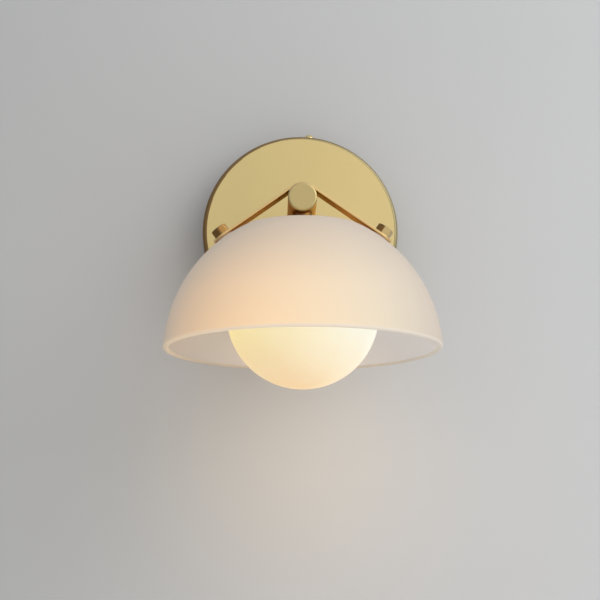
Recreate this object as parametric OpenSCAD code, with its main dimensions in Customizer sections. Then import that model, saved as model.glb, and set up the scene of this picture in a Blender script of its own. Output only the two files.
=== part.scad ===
// Wall sconce: a round canopy, a straight round arm, a folded strap over an open glass
// dome, and a glass globe that screws up round a two-pin lamp. All sizes in millimetres.
// The origin is on the wall at the canopy's centre. +Z is up and the arm points along -Y.

/* [Canopy] */
// Outside diameter of the canopy
canopy_d = 127; // [118:1:150]
// Depth from the wall to the canopy's face
canopy_depth = 24; // [23:0.5:32]
// Thickness of the canopy's sheet
canopy_wall = 1.2; // [0.8:0.1:1.6]
// Outside radius of the canopy's rolled edge
canopy_edge_r = 2.4; // [2:0.1:4]

/* [Crossbar] */
// Width of the mounting crossbar
bar_w = 22; // [18:1:28]
// Thickness of the crossbar's steel
bar_t = 2; // [1.5:0.1:2.5]
// Distance between the two wall box slots, centre to centre
slot_spacing = 83.3; // [80:0.1:89]
// Width of each wall box slot
slot_w = 4.8; // [4.4:0.1:5.5]
// Length of each wall box slot, end to end
slot_len = 18.6; // [12:0.1:20]
// Outside radius of the bends at the crossbar's ears
bar_bend_r = 3.5; // [3:0.1:5]
// Height of the ground screw over the canopy's centre
ground_z = 21; // [18:0.5:23]

/* [Side screws] */
// Shank diameter of the two side screws
side_screw_d = 3.5; // [3:0.1:4]
// Shank length of the side screws
side_screw_len = 8; // [7:0.5:10]
// Head diameter of the side screws
side_head_d = 6.2; // [5.5:0.1:7.5]
// Head height of the side screws
side_head_h = 3; // [1.8:0.1:3.2]
// Distance of the side screws from the wall
side_screw_depth = 13.5; // [10:0.5:14]
// Turn of the side screws from the vertical, clockwise from the front
side_screw_turn = 5.5; // [-6:0.5:6]

/* [Arm] */
// Outside diameter of the arm
arm_d = 18; // [17:0.5:22]
// Wall of the arm's tube
arm_wall = 2; // [1.5:0.1:2.5]
// Distance from the wall to the shade's axis
arm_reach = 121; // [110:1:150]
// Length of the arm past the shade's axis
arm_nose = 14; // [12:0.5:24]
// Radius of the rounded edge on the arm's end
arm_edge_r = 1.2; // [0.5:0.1:2]
// Thread diameter of the nipples in the arm
nipple_d = 10; // [9:0.1:10.5]
// Bore of the nipples
nipple_bore = 7; // [6:0.1:7.4]

/* [Strap] */
// Width of the strap
strap_w = 14.5; // [13:0.5:20]
// Thickness of the strap
strap_t = 1.5; // [1.2:0.1:2.5]
// Slope of the strap's two arms under the horizontal
strap_slope = 35; // [33:0.5:37]

/* [Shade fasteners] */
// Width of the cap nuts across their flats
nut_af = 9.8; // [8:0.1:11]
// Height of the cap nuts
nut_h = 5.2; // [4.2:0.1:6]
// Turn of the cap nuts about their screws
nut_turn = 16; // [0:1:59]
// Shank diameter of the shade screws
shade_screw_d = 4; // [3:0.1:4.5]
// Diameter of the holes through the dome for the shade screws
glass_hole_d = 6; // [5.5:0.1:7]
// Outside diameter of the rubber seals at the shade screws
seal_d = 12; // [10:0.5:13]
// Thickness of the rubber seals
seal_t = 1; // [0.6:0.1:1.5]

/* [Dome] */
// Radius of the dome's flank, measured across the section
flank_r = 90.5; // [84:0.5:98]
// Distance of the flank's centre past the dome's axis
flank_in = 4.3; // [2:0.1:7]
// Radius of the shoulder between the crown and the flank
shoulder_r = 15; // [11:0.5:19]
// Height of the dome from its rim to its crown
dome_h = 77.9; // [66:0.1:82]
// Thickness of the dome's glass
dome_wall = 3.3; // [2.5:0.1:4]
// Gap from the arm's underside to the dome's crown
crown_gap = 6.4; // [5:0.1:7]

/* [Globe] */
// Outside diameter of the globe
globe_d = 94; // [86:1:102]
// Thickness of the globe's glass
globe_wall = 2.5; // [2:0.1:3]
// Height of the globe's neck over the ball
neck_h = 3.4; // [3:0.1:6]

/* [Lampholder] */
// Outside diameter of the lampholder's threaded sleeve
sleeve_d = 30.2; // [29:0.1:32]
// Length of the sleeve under its flange
sleeve_len = 25; // [23:0.5:28]
// Diameter of the sleeve's flange
flange_d = 38; // [37:0.5:44]
// Diameter of the porcelain block
block_d = 24.6; // [23:0.1:25]
// Height of the porcelain block
block_h = 14; // [13.5:0.1:15]

/* [Lamp] */
// Distance between the lamp's two pins
pin_spacing = 9; // [8.6:0.1:9.4]
// Length of the lamp's pins
pin_len = 11.5; // [10:0.1:12]
// Diameter of the lamp's body
lamp_d = 16; // [14:0.5:18]
// Length of the lamp under the holder
lamp_len = 49; // [40:0.5:50]

/* [Wiring] */
// Diameter of the insulated leads
lead_d = 2; // [1.6:0.1:2.2]
// Distance between the two leads in the arm
lead_gap = 2.6; // [2.4:0.1:3]
// Diameter of the wire connectors
connector_d = 11; // [9:0.5:12]
// Length of the wire connectors
connector_len = 18; // [14:0.5:20]

/* [Fits] */
// Radial clearance of a thread or press fit
fit = 0.05; // [0.03:0.01:0.08]
// Gap between flat faces that turn or lift off
seat_gap = 0.1; // [0.05:0.01:0.2]
// Gap between a moving piece and its surroundings
free_gap = 0.35; // [0.3:0.01:0.45]

/* [Hidden] */
$fn = 96;
eps = 0.01;

BRASS = [0.83, 0.72, 0.48];
STEEL = [0.72, 0.73, 0.75];
RUBBER = [0.16, 0.16, 0.17];
CLEAR_RUBBER = [0.82, 0.79, 0.74];
OPAL = [0.93, 0.88, 0.84];
GLOBE = [0.99, 0.95, 0.85];
PORCELAIN = [0.94, 0.93, 0.90];
PLASTIC = [0.90, 0.89, 0.86];
COPPER = [0.80, 0.52, 0.34];

// Canopy and crossbar
canopy_r = canopy_d / 2;
ear_corner_gap = 0.2;
ear_z = sqrt(pow(canopy_r - canopy_wall - ear_corner_gap, 2) - pow(bar_w / 2, 2));
ear_past_screw = 4;
ear_depth = side_screw_depth + ear_past_screw;
side_screw_r = side_screw_d / 2;
side_hole_r = side_screw_r + free_gap;
side_slot_w = 0.9;
side_slot_depth = 1;

// Ground screw, its ring terminals and its lead
ground_screw_r = 2;
ground_head_r = 4;
ground_head_h = 2.6;
terminal_t = 0.8;
terminal_w = 3.2;
barrel_r = 1.7;
barrel_len = 5;
ground_ring_w = 2;
nipple_ring_w = 3;
barrel_start = 2;
ground_ring_reach = ground_screw_r + ground_ring_w + barrel_start + barrel_len;
nipple_ring_reach = nipple_d / 2 + nipple_ring_w + barrel_start + barrel_len;
ground_turn_x = 17;

// Arm
arm_r = arm_d / 2;
arm_bore_r = arm_r - arm_wall;
arm_end = arm_reach + arm_nose;
cap_t = 2.5;
cap_plug_len = 5;
bush_len = 12;
nipple_r = nipple_d / 2;
nipple_grip = 10;
nut_t = 3;
lock_washer_t = 0.8;
lock_washer_r = 8;
washer_notch_r = 0.8;
arm_nut_af = 14;
nipple_tail = 2.6;
canopy_inner_face = canopy_depth - canopy_wall;
stack_t = terminal_t + lock_washer_t + nut_t;
nipple_rear = canopy_inner_face - stack_t - nipple_tail;
bushing_t = 1.3;
bushing_plug = 2;
bushing_wall = 0.6;

// Dome. Its flank is an arc whose centre lies past the axis, and it is hung so low that
// the strap, which is bent round the arm, lies on the dome's seals at its tangent points.
strap_in_r = arm_r + fit;
bend_blend_a = 2;
strap_flat_r = strap_in_r * cos(bend_blend_a) - eps;
flank_x = -flank_in;
flank_z = (strap_flat_r - seal_t - flank_r - flank_x * sin(strap_slope)) / cos(strap_slope);
crown_z = -(arm_r + crown_gap);
rim_z = crown_z - dome_h;
shoulder_z = crown_z - shoulder_r;
shoulder_x = flank_x + sqrt(pow(flank_r - shoulder_r, 2) - pow(shoulder_z - flank_z, 2));
shoulder_a = atan2(shoulder_x - flank_x, shoulder_z - flank_z);
crown_hole_r = nipple_r + 0.6;
seat_x = flank_x + flank_r * sin(strap_slope);
seat_z = flank_z + flank_r * cos(strap_slope);
strap_run = seat_x * cos(strap_slope) - seat_z * sin(strap_slope);

// Fasteners at the strap's ends
shade_screw_r = shade_screw_d / 2;
strap_hole_r = shade_screw_r + 0.3;
seal_r = seal_d / 2;
washer_r = 5.5;
washer_t = 1;
shade_head_r = 3.8;
shade_head_h = 2.6;
nut_top_t = 1.2;
nut_top_room = 0.4;
nut_chamfer = 0.5;
nut_seat_z = seal_t + strap_t + seat_gap;
glass_curve_r = seat_x / sin(strap_slope) - dome_wall;
inner_sag = glass_curve_r - sqrt(pow(glass_curve_r, 2) - pow(seal_r, 2)) + fit;
inner_seal_z = -dome_wall - inner_sag - seal_t;
screw_head_z = inner_seal_z - washer_t;

// Crown stack and lampholder
collar_r = 6.2;
crown_seal_r = 9.5;
crown_washer_r = 13;
crown_washer_t = 1;
crown_in_z = crown_z - dome_wall;
flange_z = crown_in_z - seal_t - crown_washer_t;
flange_t = 2;
sleeve_r = sleeve_d / 2;
sleeve_end_z = flange_z - flange_t - sleeve_len;
sleeve_top_t = 5.4;
sleeve_bore_r = block_d / 2 + free_gap / 2;
sleeve_lip = 1;
sleeve_lip_w = 1.5;
sleeve_roof_z = flange_z - sleeve_top_t;
drop_nipple_end = sleeve_roof_z + 0.8;
block_r = block_d / 2;
block_z = sleeve_end_z + sleeve_lip;
block_top_z = block_z + block_h;
drop_nipple_top = -(arm_bore_r - 1.5);
pin_r = 0.45;
pin_loop_w = 3.6;
pin_wire_y = pin_loop_w / 2 - pin_r;
pin_hold = 4;
contact_t = 0.4;
contact_gap = 0.3;
contact_x = 2 * (pin_r + contact_gap + contact_t);
contact_lift = 1;
contact_depth = pin_len + 1;
block_screw_r = 1.5;
block_screw_y = 8;
block_screw_head_r = 2.8;
block_screw_head_h = 2;
block_screw_bite = 3.5;
block_screw_room = 0.5;

// Globe
globe_r = globe_d / 2;
neck_in_r = sleeve_r + free_gap;
neck_out_r = neck_in_r + globe_wall;
globe_seal_z = flange_z - flange_t - seat_gap - seal_t;
globe_z = globe_seal_z - neck_h - sqrt(pow(globe_r, 2) - pow(neck_out_r, 2));

// Lamp
lamp_r = lamp_d / 2;
lamp_top_z = block_z - free_gap;
lamp_base_h = 12;
lamp_base_chamfer = 1;
lamp_end_z = lamp_top_z - lamp_len;
envelope_wall = 0.8;
core_r = 4.5;
core_end_gap = 4;

// Leads
lead_r = lead_d / 2;
lead_x = lead_gap / 2;
lead_turn_r = 4;
lead_drop_r = 6;
connector_x = 22;
connector_hold = 4;
connector_tip_r = 3;

module outward() {
    rotate([90, 0, 0])
        children();
}

module on_axis() {
    translate([0, -arm_reach, 0])
        children();
}

// The seat of one strap end: z = 0 on the glass, +Z square to it and out of the dome
module at_seat(side) {
    on_axis()
        translate([side * seat_x, 0, seat_z])
            rotate([0, side * strap_slope, 0])
                children();
}

// The axis of one side screw: +Z runs out of the canopy
module at_side_screw(turn) {
    rotate([0, side_screw_turn + turn, 0])
        translate([0, -side_screw_depth, 0])
            children();
}

module ring(r_out, r_in, h) {
    difference() {
        cylinder(h = h, r = r_out);
        translate([0, 0, -eps])
            cylinder(h = h + 2 * eps, r = r_in);
    }
}

module hex_prism(af, h) {
    cylinder(h = h, r = af / 2 / cos(30), $fn = 6);
}

// Hexagon with its top corners taken off by a cone
module chamfered_hex(af, h, chamfer) {
    corner_r = af / 2 / cos(30);
    intersection() {
        hex_prism(af, h);
        union() {
            cylinder(h = h - chamfer, r = corner_r + chamfer);
            translate([0, 0, h - chamfer])
                cylinder(h = chamfer, r1 = corner_r, r2 = af / 2 - chamfer / 2);
        }
    }
}

// Slotted screw: the head's underside at z = 0, the shank below it
module slotted_screw(shank_r, len, head_r, head_h, slot_w, slot_depth) {
    rim = head_h * 0.45;
    difference() {
        union() {
            translate([0, 0, -len])
                cylinder(h = len, r = shank_r);
            cylinder(h = head_h - rim, r = head_r);
            translate([0, 0, head_h - rim])
                cylinder(h = rim, r1 = head_r, r2 = head_r - rim);
        }
        translate([-head_r - eps, -slot_w / 2, head_h - slot_depth])
            cube([2 * head_r + 2 * eps, slot_w, slot_depth + eps]);
    }
}

// Wedge of the plane between two angles, which are turned clockwise from +Y
module wedge(a0, a1, reach) {
    mid = (a0 + a1) / 2;
    polygon([
        [0, 0],
        reach * [sin(a0), cos(a0)],
        reach * [sin(mid), cos(mid)],
        reach * [sin(a1), cos(a1)]
    ]);
}

// Curved wall of one thickness between two angles
module arc_wall(r, wall, a0, a1) {
    intersection() {
        difference() {
            circle(r = r);
            circle(r = r - wall);
        }
        wedge(a0, a1, 2 * r);
    }
}

// Bend of a lead in the XY plane, from +X round to +Y about the origin
module lead_bend(bend_r, r, angle) {
    rotate_extrude(angle = angle)
        translate([bend_r, 0])
            circle(r = r);
}

module rounded_disc_profile(r, depth, edge) {
    square([r - edge, depth]);
    square([r, depth - edge]);
    translate([r - edge, depth - edge])
        circle(r = edge);
}

module channel_profile(depth, half, bend) {
    translate([bend, -half])
        square([depth - bend, 2 * half]);
    translate([0, -(half - bend)])
        square([depth, 2 * (half - bend)]);
    for (s = [-1, 1])
        translate([bend, s * (half - bend)])
            circle(r = bend);
}

module box_slot() {
    straight = slot_len - slot_w;
    cube([slot_w, 4 * bar_t, straight], center = true);
    for (s = [-1, 1])
        translate([0, 0, s * straight / 2])
            rotate([90, 0, 0])
                cylinder(h = 4 * bar_t, d = slot_w, center = true);
}

module mounting_crossbar() {
    color(STEEL)
        difference() {
            rotate([90, 0, -90])
                linear_extrude(height = bar_w, center = true)
                    difference() {
                        channel_profile(ear_depth, ear_z, bar_bend_r);
                        translate([bar_t, 0])
                            channel_profile(ear_depth, ear_z - bar_t, bar_bend_r - bar_t);
                    }
            for (s = [-1, 1])
                translate([0, -bar_t / 2, s * slot_spacing / 2])
                    box_slot();
            translate([0, eps, ground_z])
                outward()
                    cylinder(h = bar_t + 2 * eps, r = ground_screw_r + fit);
            for (turn = [0, 180])
                at_side_screw(turn)
                    translate([0, 0, ear_z - 3 * bar_t])
                        cylinder(h = 5 * bar_t, r = side_screw_r + fit);
        }
}

module ground_screw() {
    color([0.20, 0.55, 0.30])
        translate([0, -(bar_t + terminal_t), ground_z])
            outward()
                slotted_screw(ground_screw_r, bar_t + terminal_t, ground_head_r, ground_head_h,
                    side_slot_w, side_slot_depth);
}

// Ring terminal: the ring lies on z = 0 round the origin and its barrel points along +X
module ring_terminal(hole_r, rim_w) {
    barrel_x = hole_r - fit + rim_w + barrel_start;
    difference() {
        union() {
            cylinder(h = terminal_t, r = hole_r - fit + rim_w);
            translate([0, -terminal_w / 2, 0])
                cube([barrel_x + barrel_len, terminal_w, terminal_t]);
            translate([barrel_x, 0, barrel_r])
                rotate([0, 90, 0])
                    cylinder(h = barrel_len, r = barrel_r);
        }
        translate([0, 0, -eps])
            cylinder(h = terminal_t + 2 * eps, r = hole_r);
        translate([barrel_x + barrel_len / 2, 0, barrel_r])
            rotate([0, 90, 0])
                cylinder(h = barrel_len, r = lead_r + fit);
    }
}

module ground_terminals() {
    color(COPPER) {
        translate([0, -bar_t, ground_z])
            outward()
                ring_terminal(ground_screw_r + fit, ground_ring_w);
        outward()
            translate([0, 0, canopy_inner_face])
                mirror([0, 0, 1])
                    ring_terminal(nipple_r + fit, nipple_ring_w);
    }
}

// The lead leaves one terminal to the right, turns half round and comes back to the other
module ground_lead() {
    from_y = -(bar_t + barrel_r);
    to_y = -(canopy_inner_face - barrel_r);
    span = norm([to_y - from_y, ground_z]);
    start_x = ground_ring_reach;
    color([0.25, 0.62, 0.32])
        translate([0, from_y, ground_z])
            rotate([atan2(-ground_z, to_y - from_y), 0, 0]) {
                translate([start_x - barrel_len / 2, 0, 0])
                    rotate([0, 90, 0])
                        cylinder(h = ground_turn_x - start_x + barrel_len / 2, r = lead_r);
                translate([nipple_ring_reach - barrel_len / 2, span, 0])
                    rotate([0, 90, 0])
                        cylinder(h = ground_turn_x - nipple_ring_reach + barrel_len / 2,
                            r = lead_r);
                translate([ground_turn_x, span / 2, 0])
                    rotate([0, 0, -90])
                        lead_bend(span / 2, lead_r, 180);
            }
}

module canopy() {
    color(BRASS)
        difference() {
            outward()
                rotate_extrude()
                    difference() {
                        rounded_disc_profile(canopy_r, canopy_depth, canopy_edge_r);
                        translate([0, -eps])
                            rounded_disc_profile(canopy_r - canopy_wall,
                                canopy_inner_face + eps, canopy_edge_r - canopy_wall);
                    }
            outward()
                cylinder(h = canopy_depth + eps, r = nipple_r + fit);
            for (turn = [0, 180])
                at_side_screw(turn)
                    translate([0, 0, canopy_r - 3 * canopy_wall])
                        cylinder(h = 4 * canopy_wall, r = side_hole_r);
        }
}

module side_screw(turn) {
    color(BRASS)
        at_side_screw(turn)
            translate([0, 0, canopy_r + seat_gap])
                slotted_screw(side_screw_r, side_screw_len, side_head_d / 2, side_head_h,
                    side_slot_w, side_slot_depth);
}

module top_side_screw() {
    side_screw(0);
}

module bottom_side_screw() {
    side_screw(180);
}

module arm_nipple() {
    color(STEEL)
        outward()
            translate([0, 0, nipple_rear])
                ring(nipple_r, nipple_bore / 2, canopy_depth + nipple_grip - nipple_rear);
}

// External-tooth lock washer
module arm_lock_washer() {
    color(STEEL)
        outward()
            translate([0, 0, canopy_inner_face - terminal_t - lock_washer_t])
                difference() {
                    ring(lock_washer_r, nipple_r + fit, lock_washer_t);
                    for (a = [0 : 30 : 330])
                        rotate([0, 0, a])
                            translate([lock_washer_r, 0, -eps])
                                cylinder(h = lock_washer_t + 2 * eps, r = washer_notch_r);
                }
}

module arm_hex_nut() {
    color(STEEL)
        outward()
            translate([0, 0, canopy_inner_face - stack_t + nut_t])
                mirror([0, 0, 1])
                    difference() {
                        chamfered_hex(arm_nut_af, nut_t, nut_chamfer);
                        translate([0, 0, -eps])
                            cylinder(h = nut_t + 2 * eps, r = nipple_r + fit);
                    }
}

module nipple_bushing() {
    plug_r = nipple_bore / 2 - fit;
    color(PLASTIC)
        outward()
            translate([0, 0, nipple_rear - bushing_t])
                difference() {
                    union() {
                        cylinder(h = bushing_t, r = nipple_r);
                        cylinder(h = bushing_t + bushing_plug, r = plug_r);
                    }
                    translate([0, 0, -eps])
                        cylinder(h = bushing_t + bushing_plug + 2 * eps,
                            r = plug_r - bushing_wall);
                }
}

module arm_bush() {
    color(BRASS)
        outward()
            translate([0, 0, canopy_depth])
                ring(arm_bore_r - fit, nipple_r + fit, bush_len);
}

module arm_tube() {
    color(BRASS)
        difference() {
            outward()
                translate([0, 0, canopy_depth])
                    ring(arm_r, arm_bore_r, arm_end - cap_t - canopy_depth);
            on_axis()
                translate([0, 0, -arm_d])
                    cylinder(h = arm_d, r = nipple_r + fit);
        }
}

module arm_end_cap() {
    color(BRASS)
        outward()
            translate([0, 0, arm_end - cap_t]) {
                rotate_extrude()
                    rounded_disc_profile(arm_r, cap_t, arm_edge_r);
                translate([0, 0, -cap_plug_len])
                    cylinder(h = cap_plug_len, r = arm_bore_r - fit);
            }
}

// Area under the strap's bend and its two slopes. The slopes meet the bend at a slight
// angle, so that its round leaves them cleanly.
module strap_area(r, slope_len) {
    slope_r = r * cos(bend_blend_a);
    end = slope_r * [sin(strap_slope), cos(strap_slope)]
        + slope_len * [cos(strap_slope), -sin(strap_slope)];
    difference() {
        polygon([[0, slope_r / cos(strap_slope)], end, [-end[0], end[1]]]);
        difference() {
            translate([-r, r * cos(strap_slope)])
                square([2 * r, r]);
            circle(r = r);
        }
    }
}

module shade_strap() {
    end_r = strap_w / 2 / cos(bend_blend_a);
    slope_len = strap_run + strap_w;
    color(BRASS)
        difference() {
            on_axis()
                rotate([90, 0, 0])
                    linear_extrude(height = strap_w, center = true)
                        difference() {
                            strap_area(strap_in_r + strap_t, slope_len);
                            strap_area(strap_in_r, slope_len + strap_w);
                        }
            for (side = [-1, 1])
                at_seat(side) {
                    difference() {
                        translate([side > 0 ? 0 : -2 * strap_w, -strap_w, -strap_t])
                            cube([2 * strap_w, 2 * strap_w, strap_w]);
                        translate([0, 0, -strap_w])
                            cylinder(h = 3 * strap_w, r = end_r);
                    }
                    cylinder(h = seal_t + 2 * strap_t, r = strap_hole_r);
                }
        }
}

module shade_screw(side) {
    shank = nut_seat_z + nut_h - nut_top_t - nut_top_room - screw_head_z;
    color(STEEL)
        at_seat(side)
            translate([0, 0, screw_head_z])
                mirror([0, 0, 1])
                    slotted_screw(shade_screw_r, shank, shade_head_r, shade_head_h,
                        side_slot_w, side_slot_depth);
}

module left_shade_screw() {
    shade_screw(-1);
}

module right_shade_screw() {
    shade_screw(1);
}

module shade_screw_washers() {
    color(STEEL)
        for (side = [-1, 1])
            at_seat(side)
                translate([0, 0, screw_head_z])
                    ring(washer_r, shade_screw_r + fit, washer_t);
}

// Rubber washers under the glass, each with a sleeve that lines the glass hole
module inner_shade_seals() {
    sleeve_top = -fit;
    color(CLEAR_RUBBER)
        for (side = [-1, 1])
            at_seat(side)
                translate([0, 0, inner_seal_z]) {
                    ring(seal_r, shade_screw_r + fit, seal_t);
                    ring(glass_hole_d / 2 - fit, shade_screw_r + fit,
                        sleeve_top - inner_seal_z);
                }
}

module outer_shade_seals() {
    color(CLEAR_RUBBER)
        for (side = [-1, 1])
            at_seat(side)
                ring(seal_r, shade_screw_r + fit, seal_t);
}

module cap_nut(side) {
    bore = nut_h - nut_top_t;
    color(BRASS)
        at_seat(side)
            translate([0, 0, nut_seat_z])
                rotate([0, 0, nut_turn])
                    difference() {
                        chamfered_hex(nut_af, nut_h, nut_chamfer);
                        translate([0, 0, -eps])
                            cylinder(h = bore + eps, r = shade_screw_r + fit);
                    }
}

module left_cap_nut() {
    cap_nut(-1);
}

module right_cap_nut() {
    cap_nut(1);
}

module dome_section() {
    rim_r = dome_wall / 2;
    mid_r = flank_r - rim_r;
    rim_a = acos((rim_z + rim_r - flank_z) / mid_r);
    lap_a = eps;
    translate([0, crown_in_z])
        square([shoulder_x + eps, dome_wall]);
    translate([shoulder_x, shoulder_z])
        arc_wall(shoulder_r, dome_wall, 0, shoulder_a);
    translate([flank_x, flank_z]) {
        arc_wall(flank_r, dome_wall, shoulder_a - lap_a, rim_a);
        translate(mid_r * [sin(rim_a), cos(rim_a)])
            circle(r = rim_r);
    }
}

module shade_glass() {
    color(OPAL)
        difference() {
            on_axis()
                rotate_extrude()
                    dome_section();
            on_axis()
                translate([0, 0, crown_in_z - eps])
                    cylinder(h = dome_wall + 2 * eps, r = crown_hole_r);
            for (side = [-1, 1])
                at_seat(side)
                    translate([0, 0, -2 * dome_wall])
                        cylinder(h = 3 * dome_wall, d = glass_hole_d);
        }
}

// Collar whose top is cut to the arm's round underside
module saddle_collar() {
    foot_z = crown_z + seal_t;
    color(BRASS)
        difference() {
            on_axis()
                translate([0, 0, foot_z])
                    ring(collar_r, nipple_r + fit, -foot_z);
            outward()
                cylinder(h = arm_end, r = arm_r + fit);
        }
}

module upper_crown_seal() {
    color(RUBBER)
        on_axis()
            translate([0, 0, crown_z])
                ring(crown_seal_r, nipple_r + fit, seal_t);
}

module lower_crown_seal() {
    color(RUBBER)
        on_axis()
            translate([0, 0, crown_in_z - seal_t])
                ring(crown_seal_r, nipple_r + fit, seal_t);
}

module crown_washer() {
    color(STEEL)
        on_axis()
            translate([0, 0, flange_z])
                ring(crown_washer_r, nipple_r + fit, crown_washer_t);
}

module drop_nipple() {
    color(STEEL)
        on_axis()
            translate([0, 0, drop_nipple_end])
                ring(nipple_r, nipple_bore / 2, drop_nipple_top - drop_nipple_end);
}

module holder_sleeve() {
    color(PLASTIC)
        on_axis()
            difference() {
                union() {
                    translate([0, 0, flange_z - flange_t])
                        cylinder(h = flange_t, d = flange_d);
                    translate([0, 0, sleeve_end_z])
                        cylinder(h = flange_z - sleeve_end_z, r = sleeve_r);
                }
                translate([0, 0, block_z])
                    cylinder(h = sleeve_roof_z - block_z, r = sleeve_bore_r);
                translate([0, 0, sleeve_end_z - eps])
                    cylinder(h = sleeve_lip + 2 * eps, r = block_r - sleeve_lip_w);
                translate([0, 0, drop_nipple_end - eps])
                    cylinder(h = arm_r, r = nipple_r + fit);
                translate([0, 0, sleeve_roof_z - eps])
                    cylinder(h = arm_r, r = nipple_bore / 2);
                for (s = [-1, 1])
                    translate([0, s * block_screw_y, sleeve_roof_z - eps])
                        cylinder(h = block_screw_bite + eps, r = block_screw_r + fit);
            }
}

module at_pins() {
    for (s = [-1, 1])
        translate([s * pin_spacing / 2, 0, 0])
            children();
}

module holder_block() {
    pocket_x = contact_x + 2 * fit;
    pocket_y = pin_loop_w + 2 * free_gap;
    color(PORCELAIN)
        on_axis()
            translate([0, 0, block_z])
                difference() {
                    cylinder(h = block_h, r = block_r);
                    at_pins() {
                        translate([-pocket_x / 2, -pocket_y / 2, -eps])
                            cube([pocket_x, pocket_y, contact_depth + eps]);
                        cylinder(h = block_h + eps, r = lead_r + fit);
                    }
                    for (s = [-1, 1])
                        translate([0, s * block_screw_y, -eps]) {
                            cylinder(h = block_h + 2 * eps, r = block_screw_r + fit);
                            cylinder(h = block_screw_head_h + eps,
                                r = block_screw_head_r + fit);
                        }
                }
}

// Two spring clips, each with a leaf on either side of a pin
module holder_contacts() {
    color(COPPER)
        on_axis()
            at_pins()
                translate([-contact_x / 2, -pin_loop_w / 2, block_z + contact_lift])
                    difference() {
                        cube([contact_x, pin_loop_w, contact_depth - contact_lift]);
                        translate([contact_t, -eps, -eps])
                            cube([contact_x - 2 * contact_t, pin_loop_w + 2 * eps,
                                contact_depth - contact_lift - contact_t + eps]);
                    }
}

module holder_screws() {
    color(STEEL)
        on_axis()
            for (s = [-1, 1])
                translate([0, s * block_screw_y, block_z + block_screw_head_h])
                    mirror([0, 0, 1])
                        slotted_screw(block_screw_r,
                            sleeve_roof_z + block_screw_bite - block_z - block_screw_head_h
                                - block_screw_room,
                            block_screw_head_r, block_screw_head_h, side_slot_w,
                            side_slot_depth);
}

module globe_seal() {
    color(RUBBER)
        on_axis()
            translate([0, 0, globe_seal_z])
                ring(neck_out_r, neck_in_r, seal_t);
}

module globe_glass() {
    color(GLOBE)
        on_axis()
            difference() {
                union() {
                    translate([0, 0, globe_z])
                        sphere(r = globe_r);
                    translate([0, 0, globe_z])
                        cylinder(h = globe_seal_z - globe_z, r = neck_out_r);
                }
                translate([0, 0, globe_z])
                    sphere(r = globe_r - globe_wall);
                translate([0, 0, globe_z])
                    cylinder(h = globe_r + neck_h, r = neck_in_r);
            }
}

module lamp_base() {
    color(PORCELAIN)
        on_axis()
            translate([0, 0, lamp_top_z - lamp_base_h])
                difference() {
                    union() {
                        cylinder(h = lamp_base_h - lamp_base_chamfer, r = lamp_r);
                        translate([0, 0, lamp_base_h - lamp_base_chamfer])
                            cylinder(h = lamp_base_chamfer, r1 = lamp_r,
                                r2 = lamp_r - lamp_base_chamfer);
                    }
                    for (s = [-1, 1])
                        at_pins()
                            translate([0, s * pin_wire_y, lamp_base_h - pin_hold])
                                cylinder(h = pin_hold + eps, r = pin_r + fit);
                }
}

// Each pin is a wire loop with a round top
module lamp_pins() {
    straight = pin_len - pin_wire_y - pin_r;
    color(STEEL)
        on_axis()
            translate([0, 0, lamp_top_z])
                at_pins() {
                    for (s = [-1, 1])
                        translate([0, s * pin_wire_y, -pin_hold])
                            cylinder(h = straight + pin_hold, r = pin_r);
                    translate([0, 0, straight])
                        rotate([90, 0, 90])
                            lead_bend(pin_wire_y, pin_r, 180);
                }
}

module lamp_core() {
    top_z = lamp_top_z - lamp_base_h;
    end_z = lamp_end_z + envelope_wall + core_end_gap;
    color([0.98, 0.80, 0.35])
        on_axis()
            translate([0, 0, end_z])
                cylinder(h = top_z - end_z, r = core_r);
}

module lamp_envelope() {
    top_z = lamp_top_z - lamp_base_h;
    dome_z = lamp_end_z + lamp_r;
    color([0.96, 0.96, 0.94])
        on_axis()
            difference() {
                union() {
                    translate([0, 0, dome_z])
                        cylinder(h = top_z - dome_z, r = lamp_r);
                    translate([0, 0, dome_z])
                        sphere(r = lamp_r);
                }
                translate([0, 0, dome_z])
                    cylinder(h = top_z - dome_z + eps, r = lamp_r - envelope_wall);
                translate([0, 0, dome_z])
                    sphere(r = lamp_r - envelope_wall);
            }
}

// Lead from its connector through the arm and down to its contact, on one side of x = 0
module supply_lead(side) {
    start_y = -(nipple_rear - bushing_t);
    bend_y = -(arm_reach - lead_drop_r);
    jog_r = (pin_spacing / 2 - lead_x) / 2;
    jog_z = (sleeve_roof_z + block_top_z) / 2;
    end_z = block_z + contact_depth;
    mirror([side < 0 ? 1 : 0, 0, 0]) {
        translate([lead_x + lead_turn_r, start_y + lead_turn_r, 0])
            rotate([0, 90, 0])
                cylinder(h = connector_x + connector_hold - lead_x - lead_turn_r, r = lead_r);
        translate([lead_x + lead_turn_r, start_y, 0])
            rotate([0, 0, 90])
                lead_bend(lead_turn_r, lead_r, 90);
        translate([lead_x, start_y, 0])
            rotate([90, 0, 0])
                cylinder(h = start_y - bend_y, r = lead_r);
        translate([lead_x, bend_y, -lead_drop_r])
            rotate([90, 0, -90])
                lead_bend(lead_drop_r, lead_r, 90);
        translate([lead_x, -arm_reach, jog_z + jog_r])
            cylinder(h = -lead_drop_r - jog_z - jog_r, r = lead_r);
        translate([lead_x + jog_r, -arm_reach, jog_z + jog_r])
            rotate([90, 0, 0])
                rotate([0, 0, 180])
                    lead_bend(jog_r, lead_r, 90);
        translate([lead_x + jog_r, -arm_reach, jog_z - jog_r])
            rotate([90, 0, 0])
                lead_bend(jog_r, lead_r, 90);
        translate([lead_x + 2 * jog_r, -arm_reach, end_z])
            cylinder(h = jog_z - jog_r - end_z, r = lead_r);
    }
}

module live_lead() {
    color([0.12, 0.12, 0.13])
        supply_lead(-1);
}

module neutral_lead() {
    color([0.93, 0.93, 0.92])
        supply_lead(1);
}

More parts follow.
